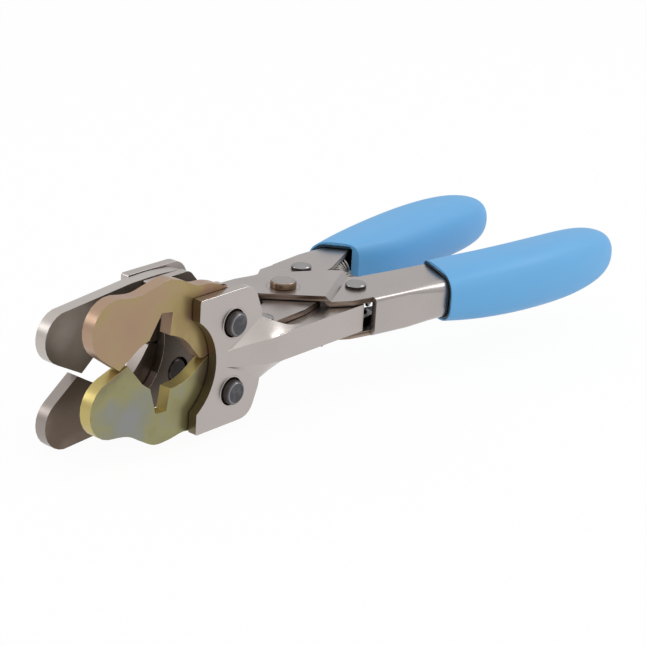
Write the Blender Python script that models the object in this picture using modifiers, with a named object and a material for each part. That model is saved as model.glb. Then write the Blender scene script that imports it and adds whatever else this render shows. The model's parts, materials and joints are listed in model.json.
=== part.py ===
"""Fitting removal tool: parallel-action tongs with two pairs of spread-open jaw plates.

Written in millimetres and scaled to metres as each mesh is made. +X runs back along the
handles, +Y runs away from the near handle, +Z is up, and the main pivot stands on the Z axis.
Each piece is made about the tool's middle plane, and the whole is then set down so that the
flat top of the pivot's head lies at the origin.
"""

import math

import bmesh
import bpy
from mathutils import Matrix, Vector

MM = 0.001

# Jaw frames and jaw plates
FRAME_SPAN = 36.2
WALL_THICK = 3.4
PLATE_THICK = 4.6
CHEEK_THICK = 3.0
PLATE_GAP = 0.35
PIN_X = -44.6
PIN_SPACING = 24.0
PIN_RADIUS = 4.5
PIN_STAND_OUT = 2.4
PIN_FIT = 0.3
WALL_HOLE_RADIUS = 4.95
RIM_CHAMFER = 0.45
FRAME_ABOVE_PIN = 11.3
CHEEK_ABOVE_PIN = 10.6
FRAME_BEFORE_PIN = 16.4
CHEEK_SETBACK = 1.4
MOUTH_BEFORE_PIN = 27.1
MOUTH_RADIUS = 19.2
MOUTH_SWEEP = 56.4
CHEEK_MOUTH_RADIUS = 20.2
CHEEK_MOUTH_SWEEP = 49.2
JAW_EDGE = 0.3
JAW_HUB_RADIUS = 10.6
MEETING_GAP = 0.17
NEAR_UPPER_TILT = math.radians(8.0)
NEAR_LOWER_TILT = math.radians(9.5)
FAR_TILT = math.radians(-4.5)

# Linkage
LINK_X = 24.3
LINK_Y = 12.7
LINK_RADIUS = 2.6
LINK_FIT = 0.32
SLOT_TRAVEL = 2.9
ARM_OUTER_Y = 22.7
ARM_WEB_THICK = 2.1
ARM_TAIL_X = 17.7
ARM_INNER_Y = 8.3
ARM_BOSS_RADIUS = 4.7

# Handles
HANDLE_HALF_HEIGHT = 7.1
SHEET = 1.9
LEVEL_GAP = 0.3
PIVOT_RADIUS = 3.6
PIVOT_FIT = 0.3
PIVOT_HEAD_RADIUS = 5.0
PIVOT_HEAD_HEIGHT = 3.2
NEAR_REAR_HEAD_RADIUS = 3.8
FAR_REAR_HEAD_RADIUS = 3.7
FRONT_HEAD_RADIUS = 3.5
REAR_HEAD_HEIGHT = 1.8
FRONT_HEAD_HEIGHT = 0.9
NOSE_RADIUS = 4.6
BEND_RADIUS = SHEET - 0.25
ROUND_BACK_RADIUS = 5.0
ROUND_FROM_X = 36.0
ROUND_TO_X = 56.0
FLANGE_INSET = SHEET - 0.2
STEP_DIRECTION = math.atan2(-0.885, 0.466)
STEP_START = 15.5
STEP_LENGTH = 2.0
HANDLE_END_X = 128.0
GRIP_CLEARANCE = 0.35

# Return spring, bowed between the two channels: points on its axis, then the wire
SPRING_AXIS = [(51.5, -21.2), (44.6, -18.0), (39.2, -10.5), (37.2, -1.5), (38.3, 6.2), (41.9, 12.2)]
SPRING_AXIS += [(46.4, 15.3), (51.0, 16.8)]
SPRING_RADIUS = 4.3
WIRE_RADIUS = 0.55
SPRING_PITCH = 2.7

INNER_HALF_HEIGHT = HANDLE_HALF_HEIGHT - SHEET
ARM_HALF_HEIGHT = INNER_HALF_HEIGHT - LEVEL_GAP
RAISED_LOW = HANDLE_HALF_HEIGHT + LEVEL_GAP
RAISED_TOP = RAISED_LOW + SHEET
FRAME_Y = FRAME_SPAN / 2
PLATE_Y = FRAME_Y - WALL_THICK - PLATE_GAP
CHEEK_Y = PLATE_Y - PLATE_THICK - PLATE_GAP
PIN_Z = PIN_SPACING / 2
FRAME_HALF_HEIGHT = PIN_Z + FRAME_ABOVE_PIN
CHEEK_HALF_HEIGHT = PIN_Z + CHEEK_ABOVE_PIN
FRAME_FRONT_X = PIN_X - FRAME_BEFORE_PIN
MOUTH_X = PIN_X - MOUTH_BEFORE_PIN
HEAD_SEAT_GAP = 0.02
PIVOT_TOP = RAISED_TOP + HEAD_SEAT_GAP + PIVOT_HEAD_HEIGHT
SMOOTH_LIMIT = math.radians(32)

# Swelling from wall to arm: x, stand-out from the wall, crown and root half heights, depth
ARM_STAND_OUT = ARM_OUTER_Y - FRAME_Y
SWELLING = [
    (-49.0, -0.2, 2.4, 3.2, 1.2),
    (-44.5, 0.8, 3.2, 5.6, 2.3),
    (-38.5, 2.4, 3.9, 9.4, 3.9),
    (-32.5, ARM_STAND_OUT - 0.5, 4.3, 11.4, 4.6),
    (-27.0, ARM_STAND_OUT + 0.08, 4.6, 9.0, 4.2),
    (-20.0, ARM_STAND_OUT + 0.03, 4.7, 6.0, 2.6),
    (-12.0, ARM_STAND_OUT - 0.12, 4.5, 4.6, 1.6),
]

# Outer line of each handle's web and free edge of its flanges, as (x, distance from mid-plane)
NEAR_WEB = [(21.0, 25.4), (47.0, 30.4), (72.0, 37.2), (95.0, 42.0), (115.0, 43.6), (HANDLE_END_X, 43.4)]
NEAR_EDGE = [(HANDLE_END_X, 31.0), (115.0, 28.0), (95.0, 24.0), (72.0, 17.6), (62.0, 13.4), (49.3, 10.6)]
NEAR_EDGE += [(33.0, 6.6)]
FAR_WEB = [(21.0, 23.4), (47.0, 25.4), (72.0, 28.6), (95.0, 31.6), (115.0, 33.2), (HANDLE_END_X, 32.6)]
FAR_EDGE = [(HANDLE_END_X, 24.0), (115.0, 22.5), (95.0, 20.8), (72.0, 19.6), (58.0, 17.3), (52.3, 14.4)]
FAR_EDGE += [(42.2, 9.8), (33.0, 5.8)]

# Inner side of the far grip's hollow, which is wider than the flanges
FAR_HOLLOW = [(HANDLE_END_X, 21.6), (115.0, 19.8), (95.0, 17.6), (72.0, 15.8), (56.0, 14.6), (33.0, 7.0)]

# Grip sections: x, distance from mid-plane, half width, half height, yaw in degrees, squareness
ROUND_BACK_SQUARENESS = 3.0
NEAR_GRIP = [
    (58.6, 22.7, 12.9, 9.4, -27.0, 4.4),
    (65.9, 25.2, 12.9, 10.4, -20.0, 3.6),
    (78.4, 28.8, 12.9, 11.3, -14.0, 2.9),
    (94.3, 32.1, 12.8, 12.0, -9.0, 2.6),
    (111.3, 34.1, 12.4, 12.0, -5.0, 2.6),
    (122.6, 34.5, 11.9, 11.6, -1.5, 2.6),
    (132.9, 34.3, 11.1, 10.8, 1.0, 2.6),
    (141.4, 33.8, 9.8, 9.5, 2.0, 2.5),
    (147.1, 33.1, 7.7, 7.6, 3.0, 2.3),
    (150.5, 32.7, 4.3, 4.6, 3.0, 2.1),
]
FAR_GRIP = [
    (50.5, 19.4, 9.6, 9.4, 33.0, 4.4),
    (57.9, 19.9, 10.4, 9.8, 21.0, 3.6),
    (69.7, 20.2, 12.4, 10.3, 13.0, 2.9),
    (84.5, 21.6, 13.4, 10.8, 8.0, 2.6),
    (101.3, 22.8, 13.6, 11.2, 5.0, 2.6),
    (117.1, 23.4, 13.2, 11.1, 2.5, 2.6),
    (128.9, 23.6, 12.0, 10.5, 0.0, 2.6),
    (136.8, 23.4, 10.3, 9.5, -1.0, 2.5),
    (142.7, 23.2, 7.7, 7.8, -2.0, 2.3),
    (145.7, 23.0, 4.3, 4.9, -2.0, 2.1),
]


def clear_scene():
    for old in list(bpy.data.objects):
        bpy.data.objects.remove(old, do_unlink=True)


def collection(name, hidden=False):
    made = bpy.data.collections.new(name)
    bpy.context.scene.collection.children.link(made)
    made.hide_render = hidden
    return made


def material(name, colour, metallic, roughness):
    made = bpy.data.materials.new(name)
    made.use_nodes = True
    shader = made.node_tree.nodes["Principled BSDF"]
    shader.inputs["Base Color"].default_value = (*colour, 1.0)
    shader.inputs["Metallic"].default_value = metallic
    shader.inputs["Roughness"].default_value = roughness
    return made


def arc(centre_x, centre_y, radius, start, end, steps):
    """Points on a circular arc, angles in degrees."""
    angles = [math.radians(start + (end - start) * i / steps) for i in range(steps + 1)]
    return [(centre_x + radius * math.cos(a), centre_y + radius * math.sin(a)) for a in angles]


def circle(centre_x, centre_y, radius, steps=32, phase=4.0):
    return arc(centre_x, centre_y, radius, phase, phase + 360, steps)[:-1]


def rounded(corners, steps=5):
    """A closed outline whose corners, given as (x, y, radius), are filleted."""
    points = []
    for index, (x, y, radius) in enumerate(corners):
        here = Vector((x, y))
        before = Vector(corners[index - 1][:2]) - here
        after = Vector(corners[(index + 1) % len(corners)][:2]) - here
        if radius <= 0:
            points.append((x, y))
            continue
        half = before.angle(after) / 2
        reach = radius / math.tan(half)
        centre = here + (before.normalized() + after.normalized()).normalized() * radius / math.sin(half)
        first = here + before.normalized() * reach - centre
        last = here + after.normalized() * reach - centre
        turn = first.angle_signed(last)
        for step in range(steps + 1):
            spoke = first.copy()
            spoke.rotate(Matrix.Rotation(-turn * step / steps, 2))
            points.append(tuple(centre + spoke))
    return points


def smooth(points, steps=4):
    """A smooth open line through the points, by Catmull-Rom interpolation."""
    line = []
    for index in range(len(points) - 1):
        a = Vector(points[max(index - 1, 0)])
        b = Vector(points[index])
        c = Vector(points[index + 1])
        d = Vector(points[min(index + 2, len(points) - 1)])
        for step in range(steps):
            t = step / steps
            curved = (2 * a - 5 * b + 4 * c - d) * t**2 + (3 * b - a - 3 * c + d) * t**3
            line.append(tuple(0.5 * (2 * b + (c - a) * t + curved)))
    return line + [tuple(points[-1])]


def add_object(name, mesh, where, look=None):
    made = bpy.data.objects.new(name, mesh)
    where.objects.link(made)
    if mesh.polygons:
        mesh.shade_smooth()
        mesh.set_sharp_from_angle(angle=SMOOTH_LIMIT)
    if look:
        mesh.materials.append(look)
    if where.hide_render:
        made.hide_render = True
        made.display_type = "WIRE"
    return made


def sheet(name, loops, low, high, where, look=None, turn=None):
    """A plate cut to the loops in the XY plane, from low to high along Z, then turned."""
    curve = bpy.data.curves.new(name, "CURVE")
    curve.dimensions = "2D"
    curve.fill_mode = "BOTH"
    curve.extrude = (high - low) / 2 * MM
    for loop in loops:
        spline = curve.splines.new("POLY")
        spline.points.add(len(loop) - 1)
        for point, (x, y) in zip(spline.points, loop):
            point.co = (x * MM, y * MM, 0, 1)
        spline.use_cyclic_u = True
    guide = bpy.data.objects.new(name + "_outline", curve)
    bpy.context.scene.collection.objects.link(guide)
    mesh = bpy.data.meshes.new_from_object(guide)
    bpy.data.objects.remove(guide, do_unlink=True)
    mesh.transform(Matrix.Translation((0, 0, (low + high) / 2 * MM)))
    if turn:
        mesh.transform(turn)
    work = bmesh.new()
    work.from_mesh(mesh)
    bmesh.ops.remove_doubles(work, verts=work.verts, dist=1e-6)
    bmesh.ops.recalc_face_normals(work, faces=work.faces)
    work.to_mesh(mesh)
    work.free()
    mesh.name = name
    return add_object(name, mesh, where, look)


def upright(name, loops, side, inner, outer, where, look=None):
    """A plate cut to (x, z) loops, between two distances from the mid-plane on one side."""
    low, high = sorted((-side * inner, -side * outer))
    return sheet(name, loops, low, high, where, look, Matrix.Rotation(math.radians(90), 4, "X"))


def turned(name, profile, where, look=None, steps=32):
    """A solid of revolution about Z: the profile is (radius, z), top to bottom."""
    mesh = bpy.data.meshes.new(name)
    work = bmesh.new()
    points = [work.verts.new((radius * MM, 0, z * MM)) for radius, z in profile]
    for first, second in zip(points, points[1:]):
        work.edges.new((first, second))
    work.to_mesh(mesh)
    work.free()
    made = add_object(name, mesh, where, look)
    screw = made.modifiers.new("Turn", "SCREW")
    screw.axis = "Z"
    screw.steps = steps
    screw.render_steps = steps
    screw.use_merge_vertices = True
    screw.merge_threshold = 0.00001
    screw.use_normal_calculate = False
    return made


def place(made, x, y, z, rotation=None):
    made.location = (x * MM, y * MM, z * MM)
    if rotation:
        made.rotation_euler = rotation
    return made


def set_origin(made, x, y, z):
    """Moves the origin of a mesh built in place onto its joint axis."""
    made.data.transform(Matrix.Translation((-x * MM, -y * MM, -z * MM)))
    return place(made, x, y, z)


def combine(target, tool, operation):
    step = target.modifiers.new(f"{operation.title()} {tool.name}", "BOOLEAN")
    step.object = tool
    step.operation = operation
    step.solver = "EXACT"


def edge_bevel(made, width, segments=1):
    bevel = made.modifiers.new("Broken edge", "BEVEL")
    bevel.width = width * MM
    bevel.segments = segments
    bevel.limit_method = "ANGLE"
    bevel.angle_limit = math.radians(40)


def cylinder(name, radius, low, high, where, top_radius=None):
    mesh = bpy.data.meshes.new(name)
    work = bmesh.new()
    middle = Matrix.Translation((0, 0, (low + high) / 2 * MM))
    bmesh.ops.create_cone(
        work,
        cap_ends=True,
        segments=32,
        radius1=radius * MM,
        radius2=(radius if top_radius is None else top_radius) * MM,
        depth=(high - low) * MM,
        matrix=middle,
    )
    work.to_mesh(mesh)
    work.free()
    return add_object(name, mesh, where)


def near_jaw_outline():
    """Upper near plate in its centred position: wavy back edge, round lobe, keyhole and hub."""
    back = [(-94.5, 23.8), (-87.0, 23.9), (-80.5, 26.2), (-74.0, 28.2), (-67.5, 27.2), (-61.0, 25.2)]
    back += [(-55.5, 25.4), (-50.0, 24.6), (PIN_X, PIN_Z + JAW_HUB_RADIUS)]
    lobe = arc(-95.4, 13.7, 10.2, 242, 92, 10)
    hub = arc(PIN_X, PIN_Z, JAW_HUB_RADIUS, 80, -110, 14)
    keyhole = [(-70.6, 9.6), (-70.8, 17.3), (-75.7, 17.4), (-79.9, 8.8), (-83.9, 6.8), (-91.7, MEETING_GAP)]
    heel = [(-53.2, MEETING_GAP), (-54.8, MEETING_GAP)]
    throat = smooth([(-54.8, MEETING_GAP), (-58.3, 3.2), (-61.6, 6.1), (-65.8, 8.4), (-70.6, 9.6)], 3)[1:-1]
    return lobe + smooth(back)[1:] + hub + heel + throat + keyhole


def far_jaw_outline():
    """Upper far plate: straight back edge, round lobe, plain mouth and the same hub."""
    back = [(-63.0, 24.2), (-52.0, 23.6), (PIN_X, PIN_Z + JAW_HUB_RADIUS)]
    lobe = arc(-92.6, 14.6, 9.2, 240, 100, 10)
    hub = arc(PIN_X, PIN_Z, JAW_HUB_RADIUS, 80, -110, 14)
    heel = [(-53.2, MEETING_GAP), (-54.8, MEETING_GAP)]
    mouth = [(-54.8, MEETING_GAP), (-58.3, 4.2), (-62.8, 8.2), (-68.3, 10.4), (-74.0, 8.9), (-80.2, 4.9)]
    mouth += [(-86.9, MEETING_GAP)]
    return lobe + smooth(back) + hub + heel + smooth(mouth, 3)[1:]


def jaw_plate(name, outline, side, upper, tilt, where, look):
    """One jaw plate, hung on its pin. Its tilt raises the tips as a positive angle."""
    flip = 1 if upper else -1
    pin_z = flip * PIN_Z
    loops = [[(x, flip * z) for x, z in outline], circle(PIN_X, pin_z, PIN_RADIUS + PIN_FIT)]
    plate = upright(name, loops, side, PLATE_Y - PLATE_THICK, PLATE_Y, where, look)
    set_origin(plate, PIN_X, side * PLATE_Y, pin_z)
    plate.data.transform(Matrix.Rotation(tilt, 4, "Y"))
    edge_bevel(plate, JAW_EDGE)
    return plate


def wall_outline(front_x, half_height, mouth_radius, sweep, rear):
    """C-shaped outline: the upper half from the mouth round to the back, then mirrored."""
    mouth = arc(MOUTH_X, 0, mouth_radius, -sweep, sweep, 16)
    upper = [(front_x, mouth[-1][1], 0.0), (front_x, half_height, 0.8)] + rear
    lower = [(x, -z, radius) for x, z, radius in reversed(upper)]
    back = rounded(upper + lower)
    return back + mouth[1:-1]


def raised_form(name, side, where):
    """Pressed swelling that lifts the wall outward into the arm's web, lofted along X."""
    mesh = bpy.data.meshes.new(name)
    work = bmesh.new()
    rings = []
    for x, stand_out, crown, root, depth in smooth(SWELLING, 3):
        top = FRAME_Y + stand_out
        base = top - depth
        half = [(top, crown), (top - 0.35 * depth, crown + 0.3 * (root - crown)), (base, root)]
        section = half + [(y, -z) for y, z in reversed(half)]
        ring = bmesh.ops.create_circle(work, segments=6, radius=1.0)["verts"]
        for vertex, (y, z) in zip(ring, section):
            vertex.co = (x * MM, side * y * MM, z * MM)
        rings.append([edge for edge in work.edges if all(v in ring for v in edge.verts)])
    for first, second in zip(rings, rings[1:]):
        bmesh.ops.bridge_loops(work, edges=first + second)
    bmesh.ops.edgeloop_fill(work, edges=rings[0])
    bmesh.ops.edgeloop_fill(work, edges=rings[-1])
    bmesh.ops.triangulate(work, faces=work.faces)
    bmesh.ops.recalc_face_normals(work, faces=work.faces)
    work.to_mesh(mesh)
    work.free()
    return add_object(name, mesh, where)


def jaw_frame(name, side, where, cutters, look):
    """Outer C wall with an outward-formed channel arm that runs back over both link rivets."""
    rear = [(-35.4, FRAME_HALF_HEIGHT, 6.5), (-31.4, 13.5, 7.0), (-30.4, 7.0, 2.0)]
    outline = wall_outline(FRAME_FRONT_X, FRAME_HALF_HEIGHT, MOUTH_RADIUS, MOUTH_SWEEP, rear)
    wall = upright(name, [outline], side, FRAME_Y - WALL_THICK, FRAME_Y, where, look)
    set_origin(wall, -LINK_X, side * LINK_Y, 0)
    edge_bevel(wall, 0.35)

    flare = raised_form(name + "_flare", side, cutters)

    boss = arc(-LINK_X, LINK_Y, ARM_BOSS_RADIUS, 200, 270, 5)
    tail_x = LINK_X + SLOT_TRAVEL
    tail = arc(tail_x, LINK_Y, ARM_BOSS_RADIUS, -90, 90, 10)
    plan = [(-27.0, ARM_OUTER_Y), (-29.4, 19.0)] + boss
    plan += [(-12.0, ARM_INNER_Y + 0.5), (12.0, ARM_INNER_Y + 0.5)] + tail
    plan += [(ARM_TAIL_X + 1.5, LINK_Y + 6.0), (ARM_TAIL_X, ARM_OUTER_Y - 1.0)]
    plan += [(ARM_TAIL_X - 0.6, ARM_OUTER_Y)]
    link_hole = circle(-LINK_X, LINK_Y, LINK_RADIUS + LINK_FIT, 24, 5.0)
    slot = arc(tail_x, LINK_Y, LINK_RADIUS + LINK_FIT, -90, 90, 8)
    slot += arc(LINK_X - 0.3, LINK_Y, LINK_RADIUS + LINK_FIT, 90, 270, 8)
    loops = [[(x, side * y) for x, y in loop] for loop in (plan, link_hole, slot)]
    arm = sheet(name + "_arm", loops, -ARM_HALF_HEIGHT, ARM_HALF_HEIGHT, cutters)
    pocket_half = ARM_HALF_HEIGHT - SHEET
    web_y = ARM_OUTER_Y - ARM_WEB_THICK
    pocket_plan = [(-40.0, web_y), (40.0, web_y), (40.0, -4.0), (-40.0, -4.0)]
    pocket_loop = [(x, side * y) for x, y in pocket_plan]
    pocket = sheet(name + "_pocket", [pocket_loop], -pocket_half, pocket_half, cutters)
    combine(arm, pocket, "DIFFERENCE")
    combine(wall, flare, "UNION")
    combine(wall, arm, "UNION")

    for label, pin_z in (("upper", PIN_Z), ("lower", -PIN_Z)):
        hole = cylinder(f"{name}_{label}_hole", WALL_HOLE_RADIUS, -6, 6, cutters)
        place(hole, PIN_X, side * (FRAME_Y - 1.0), pin_z, (math.radians(90), 0, 0))
        wide = WALL_HOLE_RADIUS + 2 * RIM_CHAMFER
        rim = cylinder(f"{name}_{label}_rim", WALL_HOLE_RADIUS, 0, 1.0, cutters, wide)
        place(rim, PIN_X, side * (FRAME_Y - 0.5), pin_z, (math.radians(90) * -side, 0, 0))
        combine(wall, hole, "DIFFERENCE")
        combine(wall, rim, "DIFFERENCE")
    return wall


def inner_cheek(name, side, where, look):
    """Plate on the inner side of the jaw plates, tied to the frame by the two pins."""
    rear = [(-40.5, CHEEK_HALF_HEIGHT, 4.0), (-34.6, 16.0, 5.0)]
    front_x = FRAME_FRONT_X + CHEEK_SETBACK
    outline = wall_outline(front_x, CHEEK_HALF_HEIGHT, CHEEK_MOUTH_RADIUS, CHEEK_MOUTH_SWEEP, rear)
    holes = [circle(PIN_X, z, PIN_RADIUS + PIN_FIT) for z in (PIN_Z, -PIN_Z)]
    cheek = upright(name, [outline] + holes, side, CHEEK_Y - CHEEK_THICK, CHEEK_Y, where, look)
    set_origin(cheek, -LINK_X, side * LINK_Y, 0)
    edge_bevel(cheek, 0.3)
    return cheek


def jaw_pin(name, side, pin_z, where, look):
    """Turned pin with a chamfer at each end; its outer end stands out of the frame."""
    top = FRAME_Y + PIN_STAND_OUT
    foot = CHEEK_Y - CHEEK_THICK + 0.1
    chamfer = 0.55
    profile = [(0, top), (PIN_RADIUS - chamfer, top), (PIN_RADIUS, top - chamfer)]
    profile += [(PIN_RADIUS, foot + chamfer), (PIN_RADIUS - chamfer, foot), (0, foot)]
    pin = turned(name, profile, where, look)
    return place(pin, PIN_X, 0, pin_z, (math.radians(-90) * side, 0, 0))


def rivet(name, x, y, radius, seat, head_radius, head_height, where, look, domed=True):
    """Through rivet whose two heads bear on the outer faces at plus and minus seat."""
    if domed:
        rise = [(math.cos(a), math.sin(a)) for a in [math.pi / 2 * i / 3 for i in range(3)]] + [(0, 1)]
        head = [(head_radius * r, seat + HEAD_SEAT_GAP + head_height * h) for r, h in reversed(rise)]
    else:
        top = seat + HEAD_SEAT_GAP + head_height
        head = [(0, top), (head_radius - 0.6, top), (head_radius, top - 0.6)]
        head += [(head_radius, seat + HEAD_SEAT_GAP)]
    half = head + [(radius, seat + HEAD_SEAT_GAP)]
    profile = half + [(r, -z) for r, z in reversed(half)]
    return place(turned(name, profile, where, look, 20), x, y, 0)


def handle_outline(web, edge, nose_y, throat):
    """Plan outline of a handle's flange: rear channel, pivot plate and crossed-over nose."""
    outer = [(x, -(y - FLANGE_INSET)) for x, y in web]
    inner = [(x, -y) for x, y in edge]
    nose = arc(-LINK_X, nose_y, NOSE_RADIUS, 84, 262, 10)
    front = [(-13.0, 2.4), (-2.6, -9.4), (3.9, -16.2), (12.0, -21.4)]
    return outer + inner + throat + [(-7.0, 16.3)] + nose + front


def height_at(line, x):
    """Second coordinate of an open line at x, its end stretches carried on."""
    for first, last in zip(line, line[1:]):
        if x <= last[0]:
            break
    return first[1] + (last[1] - first[1]) * (x - first[0]) / (last[0] - first[0])


def round_back(target, name, web, side, offset, cutters):
    """Rounds the channel's two long outer corners: a tight fold in front, a round back under the grip."""
    stations = [web[0][0] - 0.8, ROUND_FROM_X, ROUND_TO_X, web[-1][0] + 1.0] + [x for x, _ in web[1:-1]]
    half = HANDLE_HALF_HEIGHT + offset
    for label, flip in (("upper", 1), ("lower", -1)):
        mesh = bpy.data.meshes.new(f"{name}_{label}_round")
        work = bmesh.new()
        rings = []
        for x in sorted(stations):
            share = min(max((x - ROUND_FROM_X) / (ROUND_TO_X - ROUND_FROM_X), 0.0), 1.0)
            radius = BEND_RADIUS + share * (ROUND_BACK_RADIUS - BEND_RADIUS) + offset
            y = height_at(web, x) + offset
            bend = arc(y - radius, half - radius, radius, 0, 90, 6)[1:-1]
            section = [(y + 1, half - radius), (y + 0.01, half - radius)] + bend
            section += [(y - radius, half + 0.01), (y - radius, half + 1), (y + 1, half + 1)]
            ring = bmesh.ops.create_circle(work, segments=len(section), radius=1.0)["verts"]
            for vertex, (across, up) in zip(ring, section):
                vertex.co = (x * MM, side * across * MM, flip * up * MM)
            rings.append([edge for edge in work.edges if all(v in ring for v in edge.verts)])
        for first, second in zip(rings, rings[1:]):
            bmesh.ops.bridge_loops(work, edges=first + second)
        bmesh.ops.edgeloop_fill(work, edges=rings[0])
        bmesh.ops.edgeloop_fill(work, edges=rings[-1])
        bmesh.ops.triangulate(work, faces=work.faces)
        bmesh.ops.recalc_face_normals(work, faces=work.faces)
        work.to_mesh(mesh)
        work.free()
        combine(target, add_object(mesh.name, mesh, cutters), "DIFFERENCE")


def handle_web(name, web, cutters, side):
    """Outer wall of the channel."""
    ends = [(web[0][0] - 0.4, web[0][1])] + web[1:-1] + [(web[-1][0] + 0.15, web[-1][1])]
    line = [(x, side * y) for x, y in ends]
    back = [(x, side * (y - SHEET)) for x, y in reversed(ends)]
    half = HANDLE_HALF_HEIGHT - 0.015
    return sheet(name + "_web", [line + back], -half, half, cutters)


def handle(name, side, web, edge, throat, level, where, cutters, look):
    """Pressed channel: flanges cut to the plan outline at the given level, and the outer web."""
    outline = handle_outline(web, edge, LINK_Y, throat)
    link_hole = LINK_RADIUS + LINK_FIT
    holes = [circle(0, 0, PIVOT_RADIUS + PIVOT_FIT)]
    holes += [circle(LINK_X, -LINK_Y, link_hole, 24), circle(-LINK_X, LINK_Y, link_hole, 24)]
    loops = [[(x, -side * y) for x, y in loop] for loop in [outline] + holes]
    body = sheet(name, loops, -RAISED_TOP - 1, RAISED_TOP + 1, where, look)
    stand = Matrix.Rotation(STEP_DIRECTION, 4, "Z") @ Matrix.Rotation(math.radians(90), 4, "X")
    levels = [level, [(t, -z) for t, z in level]]
    sides = sheet(name + "_levels", levels, -190, 190, cutters, None, stand)
    combine(body, sides, "INTERSECT")
    combine(body, handle_web(name, web, cutters, side), "UNION")
    round_back(body, name, web, side, 0.0, cutters)
    return body


def near_handle(where, cutters, look):
    """Handle whose flanges step outward to pass over the other handle at the pivot."""
    throat = [(28.9, -2.8), (26.0, 0.6), (15.5, 7.4), (4.3, 13.6)]
    low, high = INNER_HALF_HEIGHT, HANDLE_HALF_HEIGHT
    end = STEP_START + STEP_LENGTH
    level = [(-200, RAISED_LOW), (STEP_START, RAISED_LOW), (end, low), (220, low)]
    level += [(220, high), (end + 0.4, high), (STEP_START + 0.4, RAISED_TOP), (-200, RAISED_TOP)]
    return handle("near_handle", -1, NEAR_WEB, NEAR_EDGE, throat, level, where, cutters, look)


def far_handle(where, cutters, look):
    """Handle whose flat flanges lie between the stepped flanges of the other one."""
    throat = [(27.0, -4.8), (21.5, -1.2), (13.0, 6.2), (4.3, 13.4)]
    low, high = INNER_HALF_HEIGHT, HANDLE_HALF_HEIGHT
    level = [(-200, low), (220, low), (220, high), (-200, high)]
    return handle("far_handle", 1, FAR_WEB, FAR_EDGE, throat, level, where, cutters, look)


def grip(name, sections, web, hollow, side, where, cutters, look):
    """Dipped sleeve: rings bridged into a soft body, then hollowed to fit over the channel."""
    mesh = bpy.data.meshes.new(name)
    work = bmesh.new()
    rings = []
    for x, y, half_width, half_height, yaw, squareness in sections:
        ring = bmesh.ops.create_circle(work, segments=32, radius=1.0)["verts"]
        turn = Matrix.Rotation(math.radians(yaw), 4, "Z")
        for vertex in ring:
            across, up = vertex.co.x, vertex.co.y
            power = min(squareness, ROUND_BACK_SQUARENESS) if across * side > 0 else squareness
            swell = (abs(across) ** power + abs(up) ** power) ** (-1 / power)
            spot = turn @ Vector((0, across * swell * half_width, up * swell * half_height))
            vertex.co = (Vector((x, side * y, 0)) + spot) * MM
        rings.append([edge for edge in work.edges if all(v in ring for v in edge.verts)])
    for first, second in zip(rings, rings[1:]):
        bmesh.ops.bridge_loops(work, edges=first + second)
    bmesh.ops.edgeloop_fill(work, edges=rings[0])
    nose = bmesh.ops.edgeloop_fill(work, edges=rings[-1])["faces"]
    tip = bmesh.ops.poke(work, faces=nose)["verts"][0]
    tip.co.x += 0.9 * MM
    bmesh.ops.recalc_face_normals(work, faces=work.faces)
    for face in work.faces:
        face.smooth = True
    work.to_mesh(mesh)
    work.free()
    body = add_object(name, mesh, where, look)
    gap = GRIP_CLEARANCE
    end_x = HANDLE_END_X + gap
    start_x = -20.0
    outer = [(start_x, web[0][1] + gap)] + [(x, y + gap) for x, y in web[:-1]] + [(end_x, web[-1][1] + gap)]
    inner = [(end_x, hollow[0][1] - gap)] + [(x, y - gap) for x, y in hollow[1:]]
    inner += [(start_x, hollow[-1][1] - gap)]
    half = HANDLE_HALF_HEIGHT + gap
    core = sheet(name + "_core", [[(x, side * y) for x, y in outer + inner]], -half, half, cutters)
    edge_bevel(core, 0.2)
    round_back(core, name, web, side, gap, cutters)
    combine(body, core, "DIFFERENCE")
    return body


def coil(name, where, look):
    """Compression spring bowed between the two channels, with closed end turns."""
    axis = [Vector((*point, 0)) for point in smooth(SPRING_AXIS, 12)]
    reach = [0.0]
    for first, second in zip(axis, axis[1:]):
        reach.append(reach[-1] + (second - first).length)
    closed = 2.3 * WIRE_RADIUS
    free_turns = round((reach[-1] - 2 * closed) / SPRING_PITCH)
    pitch = (reach[-1] - 2 * closed) / free_turns
    turns = free_turns + 2
    curve = bpy.data.curves.new(name, "CURVE")
    curve.dimensions = "3D"
    curve.bevel_depth = WIRE_RADIUS * MM
    curve.bevel_resolution = 1
    curve.use_fill_caps = True
    spline = curve.splines.new("POLY")
    steps = 11 * turns
    spline.points.add(steps)
    for index, point in enumerate(spline.points):
        turn = turns * index / steps
        along = closed * min(turn, 1) + closed * max(turn - turns + 1, 0)
        along += pitch * min(max(turn - 1, 0), free_turns)
        leg = max(i for i in range(len(axis) - 1) if reach[i] <= along or i == 0)
        share = (along - reach[leg]) / (reach[leg + 1] - reach[leg])
        centre = axis[leg].lerp(axis[leg + 1], share)
        forward = (axis[leg + 1] - axis[leg]).normalized()
        outward = Vector((forward.y, -forward.x, 0))
        spoke = outward * math.cos(2 * math.pi * turn) + Vector((0, 0, 1)) * math.sin(2 * math.pi * turn)
        point.co = (*((centre + spoke * SPRING_RADIUS) * MM), 1)
    made = bpy.data.objects.new(name, curve)
    where.objects.link(made)
    curve.materials.append(look)
    return made


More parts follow.
